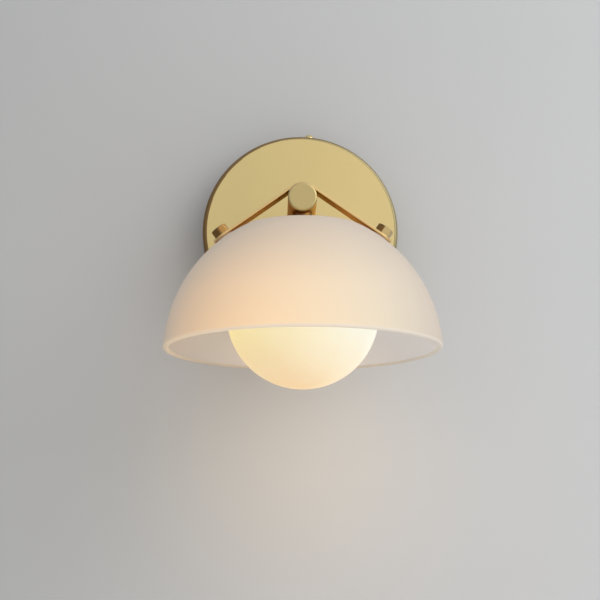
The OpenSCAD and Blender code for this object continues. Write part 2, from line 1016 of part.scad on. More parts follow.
// Twist-on connectors with their open ends toward the arm
module wire_connectors() {
    connector_y = -(nipple_rear - bushing_t - lead_turn_r);
    skirt = connector_len / 3;
    color([0.85, 0.45, 0.15])
        for (side = [-1, 1])
            mirror([side < 0 ? 1 : 0, 0, 0])
                translate([connector_x, connector_y, 0])
                    rotate([0, 90, 0])
                        difference() {
                            union() {
                                cylinder(h = skirt, d = connector_d);
                                translate([0, 0, skirt])
                                    cylinder(h = connector_len - skirt, r1 = connector_d / 2,
                                        r2 = connector_tip_r);
                            }
                            translate([0, 0, -eps])
                                cylinder(h = connector_hold + eps, r = lead_r + fit);
                        }
}

mounting_crossbar();
ground_screw();
ground_terminals();
ground_lead();
canopy();
top_side_screw();
bottom_side_screw();
arm_nipple();
arm_lock_washer();
arm_hex_nut();
nipple_bushing();
arm_bush();
arm_tube();
arm_end_cap();
shade_strap();
left_shade_screw();
right_shade_screw();
shade_screw_washers();
inner_shade_seals();
outer_shade_seals();
left_cap_nut();
right_cap_nut();
shade_glass();
saddle_collar();
upper_crown_seal();
lower_crown_seal();
crown_washer();
drop_nipple();
holder_sleeve();
holder_block();
holder_contacts();
holder_screws();
globe_seal();
globe_glass();
lamp_base();
lamp_pins();
lamp_core();
lamp_envelope();
live_lead();
neutral_lead();
wire_connectors();
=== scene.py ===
"""Dresses a wall sconce: a round brass canopy, an arm, a folded strap, an opal dome and a lit globe."""

import math

import bmesh
import bpy
import numpy as np
from mathutils import Matrix, Vector


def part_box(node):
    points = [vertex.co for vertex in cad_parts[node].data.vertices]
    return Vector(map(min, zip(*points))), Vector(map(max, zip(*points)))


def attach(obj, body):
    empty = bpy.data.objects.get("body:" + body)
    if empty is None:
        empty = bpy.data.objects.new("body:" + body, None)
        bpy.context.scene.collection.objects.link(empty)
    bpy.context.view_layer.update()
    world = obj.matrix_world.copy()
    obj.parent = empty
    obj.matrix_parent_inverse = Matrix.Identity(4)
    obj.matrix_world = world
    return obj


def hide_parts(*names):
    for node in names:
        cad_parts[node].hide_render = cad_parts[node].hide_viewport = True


bl_info = {
    "name": "Dome Wall Sconce",
    "version": (1, 0, 0),
    "blender": (4, 5, 0),
    "location": "View3D > Sidebar > Sconce",
    "description": "Builds the visible pieces, finishes, stage and camera of a dome wall sconce",
    "category": "Add Mesh",
}

MM = 0.001
# Clearance between the arm and the strap, the collar or the cap's plug.
FIT = 0.05 * MM
# Where the seals are seated, the strap's arms are taken to cut off this angle of its bend, and LAP more.
BEND_BLEND = math.radians(2)
LAP = 0.01 * MM
NIPPLE_HOLE = 5.05 * MM

BLACK = (0.0, 0.0, 0.0)
WHITE = (1.0, 1.0, 1.0)
# Colours of grazing reflections on the brass that faces down.
ARM_TINT = (1.0, 0.75, 0.43)
STRAP_TINT = (1.0, 0.9, 0.62)

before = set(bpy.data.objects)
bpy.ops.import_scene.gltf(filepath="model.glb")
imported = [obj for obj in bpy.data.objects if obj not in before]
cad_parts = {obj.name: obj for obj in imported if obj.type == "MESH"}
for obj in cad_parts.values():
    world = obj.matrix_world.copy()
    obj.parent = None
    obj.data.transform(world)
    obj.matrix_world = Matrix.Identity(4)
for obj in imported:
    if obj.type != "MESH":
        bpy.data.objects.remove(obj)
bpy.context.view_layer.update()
canopy_low, canopy_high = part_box("canopy")
tube_low, tube_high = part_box("arm_tube")
cap_low, cap_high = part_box("arm_end_cap")
shade_low, shade_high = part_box("shade_glass")
strap_low, strap_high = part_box("shade_strap")
globe_low, globe_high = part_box("globe_glass")
AXIS_Y = (shade_low.y + shade_high.y) / 2


# Properties


def length(name, description, default):
    """Property that holds a length."""
    return bpy.props.FloatProperty(name=name, description=description, unit="LENGTH", default=default)


def angle(name, description, default):
    """Property that holds an angle."""
    return bpy.props.FloatProperty(name=name, description=description, unit="ROTATION", default=default)


def shade(name, description, default):
    """Property that holds a colour."""
    return bpy.props.FloatVectorProperty(
        name=name, description=description, subtype="COLOR", default=default, min=0, max=1)


class SconceSizes(bpy.types.PropertyGroup):
    """Sizes of the pieces that are made new."""

    canopy_radius: length("Canopy radius", "Outside radius of the canopy", (canopy_high.x - canopy_low.x) / 2)
    canopy_depth: length("Canopy depth", "From the wall to the canopy's face", -canopy_low.y)
    canopy_edge: length("Canopy edge", "Radius of the canopy's rolled edge", 2.4 * MM)
    canopy_wall: length("Canopy wall", "Thickness of the canopy's sheet", 1.2 * MM)
    arm_radius: length("Arm radius", "Outside radius of the arm", (tube_high.x - tube_low.x) / 2)
    arm_wall: length("Arm wall", "Thickness of the arm's tube", 2.0 * MM)
    arm_edge: length("Arm end edge", "Radius of the rounded edge at the arm's end", 1.2 * MM)
    strap_width: length("Strap width", "Width of the folded strap", strap_high.y - strap_low.y)
    strap_thickness: length("Strap thickness", "Thickness of the folded strap", 1.5 * MM)
    strap_slope: angle("Strap slope", "Slope of the strap's arms", math.radians(35))
    seal_thickness: length("Seal thickness", "Thickness of the rubber seals", 1.0 * MM)
    nut_width: length("Cap nut width", "Across the flats of the cap nuts", 9.8 * MM)
    nut_height: length("Cap nut height", "Height of the cap nuts", 5.2 * MM)
    nut_turn: angle("Cap nut turn", "Turn of the cap nuts on their screws", math.radians(16))
    flank_radius: length("Flank radius", "Radius of the dome's flank in section", 90.5 * MM)
    flank_inset: length("Flank inset", "How far the flank's centre lies past the axis", 4.3 * MM)
    shoulder_radius: length("Shoulder radius", "Radius between the dome's crown and flank", 15.0 * MM)
    dome_wall: length("Dome wall", "Thickness of the dome's glass", 3.3 * MM)
    globe_radius: length("Globe radius", "Outside radius of the globe", 47.0 * MM)
    globe_wall: length("Globe wall", "Thickness of the globe's glass", 2.5 * MM)


class SconceFinishes(bpy.types.PropertyGroup):
    """Colours and glow of the finishes, with their painted light and shade."""

    brass: shade("Brass", "Colour of the satin brass", (0.80, 0.64, 0.30))
    # Painted light: the canopy's face turns lighter toward the right, where the light falls.
    brass_painted_light_right: shade("Brass, right", "Colour of the canopy's brass toward its right", (0.845, 0.67, 0.315))
    # Painted shade: the canopy's rounded bend turns dark toward the right, in place of its bright reflection.
    brass_bend_painted_shade_right: shade(
        "Brass bend, right", "Colour of the canopy's rounded bend toward its right", (0.26, 0.225, 0.12))
    # Painted shade: the canopy's rolled edge is coloured dark as a painted dark reflection, a little lighter
    # toward the right.
    painted_dark_edge: shade("Brass edge", "Colour of the brass where the lacquer gathers", (0.25, 0.155, 0.065))
    painted_dark_edge_right: shade(
        "Brass edge, right", "Colour of the canopy's edge toward its right", (0.34, 0.28, 0.15))
    # Painted shade: the arm's underside is dark brown, darkest at the left.
    arm_painted_shade: shade("Arm underneath", "Colour of the arm's underside at its left", (0.25, 0.05, 0.008))
    arm_painted_shade_right: shade(
        "Arm underneath, right", "Colour of the arm's underside at its right", (0.62, 0.43, 0.15))
    # Painted shade: the collar under the arm is dark brown, darker at the left.
    collar: shade("Collar", "Colour of the collar under the arm, at its left", (0.13, 0.035, 0.002))
    collar_painted_shade_right: shade("Collar, right", "Colour of the collar at its right", (0.46, 0.27, 0.08))
    # Painted reflection: the strap's cut edges are warmer and brighter, for the warm light they reflect from
    # the dome.
    brass_cut_painted_reflection: shade("Brass cut", "Colour of the brass on the strap's cut edges", (0.82, 0.585, 0.27))
    # Painted shade: the strap's underside is dark brown, darkest near the bend and lighter toward the right.
    strap_painted_shade: shade(
        "Brass underneath", "Colour of the strap's brass that faces the dome", (0.48, 0.205, 0.03))
    strap_painted_shade_right: shade(
        "Brass underneath, right", "The same toward the strap's right end", (0.68, 0.30, 0.065))
    strap_painted_shade_middle: shade(
        "Brass underneath, middle", "The same near the strap's bend", (0.085, 0.025, 0.003))
    # Painted light and shade: the nuts are dark brass, and the right nut's right facets are a lighter, lit
    # copy.
    nut_painted_shade: shade("Brass nuts", "Colour of the turned brass of the cap nuts", (0.27, 0.145, 0.045))
    nut_painted_light: shade("Brass nut, lit", "Colour of the right nut's right facets", (0.62, 0.47, 0.22))
    opal: shade("Opal dome", "Colour of the dome's frosted glass", (0.745, 0.66, 0.58))
    opal_through: bpy.props.FloatProperty(
        name="Opal translucence", description="Share of light that goes through the dome evenly",
        subtype="FACTOR", default=0.22, min=0, max=1)
    # Painted shade: the rim is darker than the dome.
    opal_rim_painted_shade: shade("Opal, rim", "Colour of the dome's fire-polished rim", (0.62, 0.56, 0.51))
    opal_rest: shade("Opal, rest", "Colour of the glow on the dome's far left side", (0.12, 0.125, 0.11))
    # The inner face's colour is the glass's own, set lower as painted shade.
    opal_inside: shade("Opal dome, inside", "Colour of the dome's inner face", (0.72, 0.70, 0.745))
    opal_glow_left: shade(
        "Opal glow, left", "Colour of the globe's light in the dome's left side", (0.86, 0.455, 0.13))
    opal_glow_right: shade(
        "Opal glow, right", "Colour of the globe's light in the dome's right side", (0.13, 0.175, 0.075))
    opal_glow_rim: shade(
        "Opal glow, rim", "Colour of the globe's light in the dome's rim", (0.70, 0.53, 0.32))
    opal_glow_rim_right: shade("Opal glow, rim, right", "The same toward the right", (0.60, 0.57, 0.49))
    opal_glow_inside: shade(
        "Opal glow, inside right", "Colour of the light on the dome's inner right side", (0.42, 0.39, 0.37))
    glow_left: shade("Globe glow, left", "Colour of the lit globe's left side", (0.68, 0.585, 0.195))
    glow_right: shade("Globe glow, right", "Colour of the lit globe's right side", (0.60, 0.63, 0.545))
    glow_foot: shade("Globe glow, foot", "Colour of the lit globe's foot", (0.60, 0.365, 0.115))


class SconceStage(bpy.types.PropertyGroup):
    """Wall, lamps and camera."""

    # Painted shade: the wall's left part is darker, where less light falls.
    wall_painted_shade_left: shade("Wall, left", "Colour of the wall's left part", (0.515, 0.525, 0.535))
    wall_right: shade("Wall, right", "Colour of the wall's right part", (0.665, 0.675, 0.695))
    ambient: bpy.props.FloatProperty(
        name="Ambient", description="Strength of the soft light where it is brightest", default=0.98, min=0)
    bright_side: bpy.props.FloatVectorProperty(
        name="Bright side", description="Where most of the soft light comes from", subtype="DIRECTION",
        default=(0.74, -0.38, 0.55))
    key: bpy.props.FloatProperty(
        name="Key lamp", description="Power of the large soft lamp", unit="POWER", default=26.0, min=0)
    spill: bpy.props.FloatProperty(
        name="Spill", description="Power of the warm light that the globe throws on the wall", unit="POWER",
        default=0.038, min=0)
    camera_place: bpy.props.FloatVectorProperty(
        name="Camera place", description="Where the camera stands", subtype="TRANSLATION", unit="LENGTH",
        default=(-0.0281, -2.0099, -0.3964))
    camera_yaw: angle("Camera yaw", "Turn of the camera to the right", 0.014)
    camera_pitch: angle("Camera pitch", "Tilt of the camera upward", 0.175)
    camera_roll: angle("Camera roll", "Roll of the picture", -0.004)
    camera_lens: bpy.props.FloatProperty(
        name="Lens", description="Focal length on a 36 mm sensor, in millimetres", default=186.65, min=1)


def settings_of(context):
    """The sizes and the finishes that the operators build with."""
    return context.scene.sconce_sizes, context.scene.sconce_finishes


# Surfaces


def face_outward(mesh):
    """Turns a closed mesh's faces outward."""
    work = bmesh.new()
    work.from_mesh(mesh)
    bmesh.ops.recalc_face_normals(work, faces=work.faces)
    work.to_mesh(mesh)
    work.free()


def new_object(name, points, faces, sharp, closed=True):
    """A smooth-shaded object from arrays of points and faces. Edges over sharp degrees stay crisp."""
    mesh = bpy.data.meshes.new(name)
    mesh.from_pydata(points.tolist(), [], faces)
    mesh.validate()
    mesh.shade_smooth()
    if closed:
        face_outward(mesh)
    mesh.set_sharp_from_angle(angle=math.radians(sharp))
    thing = bpy.data.objects.new(name, mesh)
    bpy.context.scene.collection.objects.link(thing)
    return thing


def new_piece(name, points, faces, body, node, sharp=40):
    """A closed piece that rides on a body and stands for a CAD node."""
    piece = new_object(name, points, faces, sharp)
    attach(piece, body)
    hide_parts(node)
    return piece


def grid_faces(rows, columns, close_rows, close_columns):
    """Quads between neighbouring rows and columns of a grid, wrapping round where a direction is closed."""
    row, column = np.meshgrid(
        np.arange(rows if close_rows else rows - 1),
        np.arange(columns if close_columns else columns - 1), indexing="ij")
    next_row, next_column = (row + 1) % rows, (column + 1) % columns
    quads = np.stack([
        row * columns + column, row * columns + next_column,
        next_row * columns + next_column, next_row * columns + column], -1)
    return quads.reshape(-1, 4).tolist()


def loft(rings, poles=(None, None)):
    """Surface through closed rings of equal count.

    A pole is a point that closes the first or the last ring with a fan.
    """
    rings = np.asarray(rings, float)
    rows, columns = rings.shape[:2]
    points = rings.reshape(-1, 3)
    faces = grid_faces(rows, columns, False, True)
    here = np.arange(columns)
    after = (here + 1) % columns
    last = (rows - 1) * columns
    for pole, edge in ((poles[0], (after, here)), (poles[1], (last + here, last + after))):
        if pole is not None:
            points = np.vstack([points, [pole]])
            tip = np.full(columns, len(points) - 1)
            faces += np.stack([tip, *edge], -1).tolist()
    return points, faces


def turn_rings(profile, count):
    """Rings from (radius, height) points turned about an axis: x = r cos a, y = r sin a, z = h."""
    a = np.linspace(0, 2 * np.pi, count, endpoint=False)
    r, h = profile[:, 0, None], profile[:, 1, None]
    return np.stack([r * np.cos(a), r * np.sin(a), h + 0 * a], -1)


def turned(profile, count, place, closed):
    """A profile turned about an axis, then placed.

    A closed profile makes a ring; an open one starts and ends on the axis.
    """
    if closed:
        rings = turn_rings(profile, count)
        return place(rings.reshape(-1, 3)), grid_faces(len(rings), count, True, True)
    ends = [0, 0, profile[0, 1]], [0, 0, profile[-1, 1]]
    points, faces = loft(turn_rings(profile[1:-1], count), ends)
    return place(points), faces


def out_of_wall(points):
    """Turns a shape so that its +Z points out of the wall, along -Y."""
    return np.stack([points[:, 0], -points[:, 2], points[:, 1]], -1)


def on_shade_axis(points):
    """Puts a shape that is turned about Z on the shade's upright axis."""
    return points + np.array([0, AXIS_Y, 0])


def arc(centre, radius, start, end, count):
    """Points of an arc: centre + radius (sin a, cos a), with a in radians clockwise from straight up."""
    a = np.linspace(start, end, count)
    return np.stack([centre[0] + radius * np.sin(a), centre[1] + radius * np.cos(a)], -1)


def line(a, b, count):
    """Evenly spaced points from a to b without the last."""
    t = np.linspace(0, 1, count, endpoint=False)[:, None]
    return np.asarray(a, float) * (1 - t) + np.asarray(b, float) * t


def finish_faces(piece, width, pick, materials):
    """Gives a grid piece its materials: pick turns its faces' rows and columns into material numbers."""
    for material in materials:
        piece.data.materials.append(material)
    number = np.arange(len(piece.data.polygons))
    index = pick(number // width, number % width)
    piece.data.polygons.foreach_set("material_index", index.astype(np.int32))


def paint(piece, material):
    """Gives a whole piece one material."""
    piece.data.materials.clear()
    piece.data.materials.append(material)


# Materials


def rgba(colour, gain=1.0):
    """A colour times a gain, with full alpha."""
    return tuple(min(1.0, part * gain) for part in tuple(colour)[:3]) + (1.0,)


class Signal:
    """A value that flows between shader nodes. Arithmetic on it adds Math nodes."""

    def __init__(self, net, socket):
        self.net, self.socket = net, socket

    def _math(self, operation, *values, clamp=False):
        return self.net.add("ShaderNodeMath", {"operation": operation, "use_clamp": clamp}, values)

    def __add__(self, other):
        return self._math("ADD", self, other)

    __radd__ = __add__

    def __sub__(self, other):
        return self._math("SUBTRACT", self, other)

    def __rsub__(self, other):
        return self._math("SUBTRACT", other, self)

    def __mul__(self, other):
        return self._math("MULTIPLY", self, other)

    __rmul__ = __mul__

    def __truediv__(self, other):
        return self._math("DIVIDE", self, other)

    def __pow__(self, other):
        return self._math("POWER", self, other)

    def __abs__(self):
        return self._math("ABSOLUTE", self)

    def __lt__(self, other):
        return self._math("LESS_THAN", self, other)

    def limited(self):
        """The value kept between 0 and 1."""
        return self._math("ADD", self, 0.0, clamp=True)


class Net:
    """A node tree, emptied, with its output and the node maker for it."""

    def __init__(self, tree, output):
        self.tree = tree
        self.tree.nodes.clear()
        self.output = self.tree.nodes.new(output)

    def add(self, kind, settings=None, values=(), out=0):
        """A node of a kind: settings first, then values or links for its sockets; returns one output."""
        node = self.tree.nodes.new(kind)
        for key, value in (settings or {}).items():
            setattr(node, key, value)
        pairs = values.items() if isinstance(values, dict) else enumerate(values)
        for key, value in pairs:
            if isinstance(value, Signal):
                self.tree.links.new(value.socket, node.inputs[key])
            else:
                node.inputs[key].default_value = value
        return Signal(self, node.outputs[out])

    def finish(self, shader):
        """Links a shader to the output."""
        self.tree.links.new(shader.socket, self.output.inputs["Surface"])


class Finish(Net):
    """A procedural material and what its finishes are made of."""

    def __init__(self, name):
        self.material = bpy.data.materials.new(name)
        self.material.use_nodes = True
        super().__init__(self.material.node_tree, "ShaderNodeOutputMaterial")

    def place(self, scale=(1, 1, 1)):
        """Object coordinates in millimetres times a scale."""
        spot = self.add("ShaderNodeTexCoord", out="Object")
        per_metre = tuple(part / MM for part in scale)
        return self.add("ShaderNodeMapping", {}, {"Vector": spot, "Scale": per_metre})

    def along(self, axis):
        """Object coordinate along one axis, in metres."""
        spot = self.add("ShaderNodeTexCoord", out="Object")
        return self.add("ShaderNodeSeparateXYZ", {}, [spot], out=axis)

    def noise(self, where, scale, detail=2.0, rough=0.5):
        """Cloudy noise from 0 to 1."""
        return self.add("ShaderNodeTexNoise", {}, {
            "Vector": where, "Scale": scale, "Detail": detail, "Roughness": rough})

    def blend(self, share, first, second):
        """Colour that goes from first to second as share goes from 0 to 1."""
        first, second = (colour if isinstance(colour, Signal) else rgba(colour) for colour in (first, second))
        return self.add("ShaderNodeMix", {"data_type": "RGBA"}, {0: share, 6: first, 7: second}, out=2)

    def bump(self, height, distance, strength):
        """Normals tipped by a height signal."""
        return self.add("ShaderNodeBump", {}, {
            "Height": height, "Distance": distance, "Strength": strength}, out="Normal")

    def surface(self, **sockets):
        """A Principled shader with the named sockets set or linked."""
        return self.add("ShaderNodeBsdfPrincipled", {}, {
            key.replace("_", " "): value for key, value in sockets.items()})

    def finish(self, shader):
        """Links a shader to the output and hands the material out."""
        super().finish(shader)
        return self.material


def satin_brass(name, grain, colour, rough=0.34, streak=0.06, right=None, reach=60, near=None, under=None,
                coat=0.10, tint=WHITE):
    """Lacquered satin brass: brushed lines stretched along grain, a faint cloudy tone and a soft gloss.

    The colour passes into right over a reach in millimetres on each side of the middle, into near at the
    middle and into the two under colours, left and right, on the underside. These blends are painted light
    and shade: right for how the light falls from one side, near and under as painted shade at the middle
    and underneath, where the coat fades as well. Tint colours the grazing reflections.
    """
    f = Finish(name)
    lines = f.noise(f.place(grain), 1.0, 3.0, 0.6)
    fine = f.noise(f.place([2.7 * part for part in grain]), 1.0, 2.0, 0.5)
    cloud = f.noise(f.place(), 0.035, 2.0)
    brushed = lines * 0.6 + fine * 0.4
    share = ((brushed - 0.5) * (2 * streak) + (cloud - 0.5) * 0.10 + 0.5).limited()

    def across():
        """Share that grows from left to right over the reach."""
        return (f.along("X") / (2 * reach * MM) + 0.5).limited()

    def clouded(metal):
        """A metal's colour between a darker and a lighter one."""
        return f.blend(share, rgba(metal, 0.86), rgba(metal, 1.14))

    base = clouded(colour)
    # Painted light and shade: the colour shifts toward right across the piece, for how the light falls.
    if right is not None:
        base = f.blend(across(), base, clouded(right))
    # Painted shade: darker near the middle.
    if near is not None:
        middle = ((27 * MM - abs(f.along("X"))) / (20 * MM)).limited()
        base = f.blend(middle, base, near)
    # Painted shade: the underside turns to the under colours and loses its coat.
    if under is not None:
        depth = ((-0.5 * MM - f.along("Z")) / (2.5 * MM) + (cloud - 0.5) * 0.2).limited()
        base = f.blend(depth, base, f.blend(across() ** 2, *under))
        coat = (1 - depth) * coat
    roughness = (rough + (lines - 0.5) * 0.16 + (cloud - 0.5) * 0.06).limited()
    return f.finish(f.surface(
        Base_Color=base, Metallic=1.0, Roughness=roughness, Normal=f.bump(brushed, 0.04 * MM, 0.5),
        Coat_Weight=coat, Coat_Roughness=0.25, Specular_Tint=rgba(tint)))


def frosted_opal(name, colour, through, glows, spread, rest=None):
    """Acid-frosted opal glass: pale, faintly cloudy and finely etched. It lets a share of the light through.

    It glows from one colour on the left to another on the right, by the share that spread gives. Where that
    is small, the far left glows in the rest colour.
    """
    f = Finish(name)
    cloud = f.noise(f.place(), 0.03, 3.0)
    etch = f.noise(f.place(), 6.0, 2.0)
    body = f.blend(cloud, rgba(colour, 0.985), rgba(colour, 1.015))
    normal = f.bump(etch, 0.02 * MM, 0.35)
    across = (f.along("X") * 6.5 + 0.5).limited()
    share = (spread(f) + (cloud - 0.5) * 0.04).limited()
    evenly = BLACK
    if rest is not None:
        far_left = (f.along("X") * -12.0 - 0.1).limited()
        evenly = f.blend(far_left, BLACK, rest)
    # Painted light: the emission stands in for the globe's light shining through the frosted glass.
    glow = f.blend(share, evenly, f.blend(across, *glows))
    solid = f.surface(
        Base_Color=body, Roughness=0.46 + (etch - 0.5) * 0.10, Normal=normal, IOR=1.45,
        Specular_IOR_Level=0.4, Emission_Color=glow, Emission_Strength=1.0)
    veil = f.add("ShaderNodeBsdfTranslucent", {}, {"Color": rgba(colour), "Normal": normal})
    return f.finish(f.add("ShaderNodeMixShader", {}, {0: through, 1: solid, 2: veil}))


def square_glow(f):
    """Share that is largest low on the dome and where it is looked through squarely."""
    slant = f.add("ShaderNodeLayerWeight", {}, {"Blend": 0.5}, out="Facing")
    low = ((-20 * MM - f.along("Z")) * 22.0).limited()
    return (1 - slant) ** 1.6 * (0.58 + 0.42 * low)


def front_glow(f):
    """Share that falls from the dome's front to its back, more steeply on the left."""
    return ((AXIS_Y - f.along("Y")) * (3.7 - f.along("X") * 23.0) + 0.45).limited()


def even_glow(f):
    """Share that is the same all over."""
    return 0.5


def lit_opal(name, left, right, foot, radius, low):
    """Lit opal glass: a satin body that glows, creamier on the left, paler on the right, warmer below."""
    f = Finish(name)
    cloud = f.noise(f.place(), 0.05, 2.0)
    patch = (cloud - 0.5) * 0.1
    across = (f.along("X") / (2 * radius) + 0.5 + patch).limited()
    upper = ((f.along("Z") - low) / (0.9 * radius) + (across - 0.5) * 0.45 + patch).limited()
    return f.finish(f.surface(
        Base_Color=f.blend(cloud, (0.50, 0.47, 0.43), (0.54, 0.51, 0.47)), Roughness=0.32,
        Emission_Color=f.blend(upper ** 0.7, foot, f.blend(across, left, right)), Emission_Strength=1.0))


def plain_finish(name, colour, rough, metal=0.0, grain=0.4, depth=0.03 * MM, tone=0.06, **more):
    """Moulded, plated or glazed finish: an uneven tone, uneven gloss and a slight grain."""
    f = Finish(name)
    cloud = f.noise(f.place(), 0.12, 3.0)
    speck = f.noise(f.place(), grain * 4, 3.0, 0.6)
    body = f.blend((cloud * 0.6 + speck * 0.4).limited(), rgba(colour, 1 - tone), rgba(colour, 1 + tone))
    roughness = (rough + (speck - 0.5) * 0.18 + (cloud - 0.5) * 0.08).limited()
    return f.finish(f.surface(
        Base_Color=body, Roughness=roughness, Metallic=metal, Normal=f.bump(speck, depth, 0.4), **more))


def painted_wall(left, right, opening):
    """Rolled wall paint, with painted shade that darkens it toward the left, and clear from behind and over a
    wall box's round opening.
    """
    f = Finish("painted_wall")
    mottle = f.noise(f.place(), 0.012, 2.0)
    roller = f.noise(f.place(), 0.8, 3.0)
    across = (f.along("X") * 2.2 + 0.5 + (mottle - 0.5) * 0.1).limited()
    front = f.surface(
        Base_Color=f.blend(across, left, right), Roughness=0.85, Normal=f.bump(roller, 0.05 * MM, 0.2))
    side = f.add("ShaderNodeNewGeometry", out="Backfacing")
    box = f.along("X") ** 2 + f.along("Z") ** 2 < opening ** 2
    clear = f.add("ShaderNodeBsdfTransparent")
    return f.finish(f.add("ShaderNodeMixShader", {}, {0: (side + box).limited(), 1: front, 2: clear}))


# Operators


class SCONCE_OT_camera(bpy.types.Operator):
    """Stand the camera where the picture was taken"""

    bl_idname = "sconce.camera"
    bl_label = "Camera"

    def execute(self, context):
        stage = context.scene.sconce_stage
        yaw, pitch, roll = stage.camera_yaw, stage.camera_pitch, stage.camera_roll
        right = Vector((math.cos(yaw), -math.sin(yaw), 0))
        ahead = Vector((math.sin(yaw) * math.cos(pitch), math.cos(yaw) * math.cos(pitch), math.sin(pitch)))
        up = right.cross(ahead)
        rolled_right = math.cos(roll) * right + math.sin(roll) * up
        rolled_up = math.cos(roll) * up - math.sin(roll) * right
        data = bpy.data.cameras.new("picture_camera")
        data.sensor_width = 36
        data.lens = stage.camera_lens
        data.clip_start, data.clip_end = 0.05, 40
        camera = bpy.data.objects.new("picture_camera", data)
        context.scene.collection.objects.link(camera)
        turn = Matrix((rolled_right, rolled_up, -ahead)).transposed().to_4x4()
        camera.matrix_world = Matrix.Translation(stage.camera_place) @ turn
        context.scene.camera = camera
        return {"FINISHED"}


def area_lamp(name, place, aim, size, power, colour=WHITE):
    """A soft rectangular lamp that the camera doesn't see."""
    data = bpy.data.lights.new(name, "AREA")
    data.shape = "RECTANGLE"
    data.size, data.size_y = size
    data.energy = power
    data.color = colour
    lamp = bpy.data.objects.new(name, data)
    bpy.context.scene.collection.objects.link(lamp)
    lamp.location = place
    lamp.rotation_mode = "QUATERNION"
    lamp.rotation_quaternion = (Vector(aim) - Vector(place)).to_track_quat("-Z", "Y")
    lamp.visible_camera = False


class SCONCE_OT_stage(bpy.types.Operator):
    """Put up the wall, the floor, the lamps and the even light"""

    bl_idname = "sconce.stage"
    bl_label = "Stage"

    def execute(self, context):
        scene = context.scene
        stage = scene.sconce_stage
        scene.view_settings.view_transform = "Standard"
        self.put_up_wall(stage)
        self.light_world(scene, stage)
        aim = (0, -0.08, -0.02)
        area_lamp("key", (2.0, -1.5, 1.3), aim, (2.6, 2.4), stage.key, (1.0, 0.985, 0.96))
        area_lamp("back_fill", (0.4, 1.3, 0.4), aim, (1.6, 1.6), stage.key * 0.25)
        area_lamp("bounce", (0.3, -1.0, -1.1), aim, (1.8, 1.2), stage.key * 0.12)
        below_globe = (0, AXIS_Y + 13 * MM, globe_low.z - 16 * MM)
        area_lamp("spill", below_globe, (0, 0.05, -0.27), (0.06, 0.06), stage.spill, (1.0, 0.66, 0.32))
        return {"FINISHED"}

    def put_up_wall(self, stage):
        """The wall's section is upright, bends through a quarter circle and runs out as the floor."""
        gap, top, floor, bend, reach, half = 0.4 * MM, 1.6, -1.15, 0.35, 2.4, 3.0
        a = np.linspace(0, np.pi / 2, 9)[1:-1]
        profile = np.vstack([
            [[gap, top], [gap, floor + bend]],
            np.stack([-bend * (1 - np.cos(a)), floor + bend * (1 - np.sin(a))], -1),
            [[-bend, floor], [-reach, floor]]])
        x = np.array([half, -half])
        points = np.stack(np.broadcast_arrays(x, profile[:, 0, None], profile[:, 1, None]), -1).reshape(-1, 3)
        faces = grid_faces(len(profile), len(x), False, False)
        wall = new_object("wall_and_floor", points, faces, 60, closed=False)
        paint(wall, painted_wall(stage.wall_painted_shade_left, stage.wall_right, 61 * MM))

    def light_world(self, scene, stage):
        """Soft light that grows toward the bright side. The camera sees an even grey instead."""
        world = bpy.data.worlds.new("even_light")
        scene.world = world
        world.use_nodes = True
        net = Net(world.node_tree, "ShaderNodeOutputWorld")
        way = net.add("ShaderNodeTexCoord", out="Generated")
        bright = Vector(stage.bright_side).normalized()
        facing = net.add("ShaderNodeVectorMath", {"operation": "DOT_PRODUCT"}, [way, bright], out="Value")
        level = net.add("ShaderNodeMapRange", {}, {
            "Value": facing, "From Min": -0.85, "To Min": stage.ambient * 0.16, "To Max": stage.ambient})
        glow = net.add("ShaderNodeBackground", {}, {"Color": (1.0, 0.99, 0.97, 1), "Strength": level})
        seen = net.add("ShaderNodeBackground", {}, {"Color": (0.60, 0.60, 0.59, 1), "Strength": 1.0})
        camera_ray = net.add("ShaderNodeLightPath", out="Is Camera Ray")
        net.finish(net.add("ShaderNodeMixShader", {}, {0: camera_ray, 1: glow, 2: seen}))


